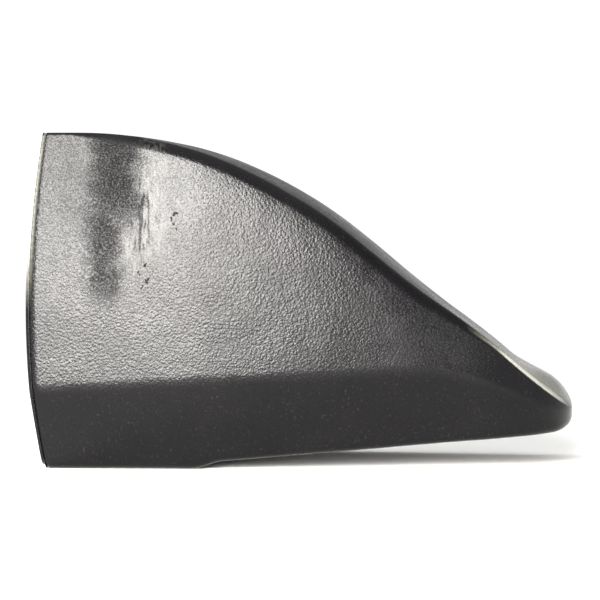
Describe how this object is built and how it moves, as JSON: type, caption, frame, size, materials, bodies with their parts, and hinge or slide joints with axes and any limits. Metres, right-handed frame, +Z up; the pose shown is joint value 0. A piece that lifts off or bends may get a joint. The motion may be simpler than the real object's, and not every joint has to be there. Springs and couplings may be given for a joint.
{
  "type": "excavator bucket tooth",
  "caption": "Slip-on digging tooth point with a curved back, rounded spade tip and hollow rear socket, held by an upright rubber-backed retaining pin.",
  "frame": {"origin": "centre of the bounding box in plan, at its lowest level: the flat underside of the socket end", "axes": "+X towards the digging tip, -X out of the socket mouth, +Y to the left of the digging direction, +Z up through the curved back"},
  "size_m": [0.2048, 0.0998, 0.126],
  "materials": {
    "point_paint": "black dip paint over a shot-blasted alloy steel forging, pebbled skin",
    "pin_steel": "heat-treated bar, oiled",
    "pin_rubber": "moulded strip bonded to both bars"
  },
  "bodies": {
    "tooth": {"tooth_point": "point_paint"},
    "pin": {"pin_rear_bar": "pin_steel", "pin_rubber": "pin_rubber"},
    "pin_front": {"pin_front_bar": "pin_steel"}
  },
  "joints": [
    {"name": "pin_drive", "type": "slide", "parent": "tooth", "child": "pin", "axis": [0, 0, 1], "range_m": [0, 0.125]},
    {"name": "bar_squeeze", "type": "slide", "parent": "pin", "child": "pin_front", "axis": [-1, 0, 0], "range_m": [0, 0.0025], "stiffness_N_per_m": 20000, "deforming": ["pin_rubber"]}
  ]
}
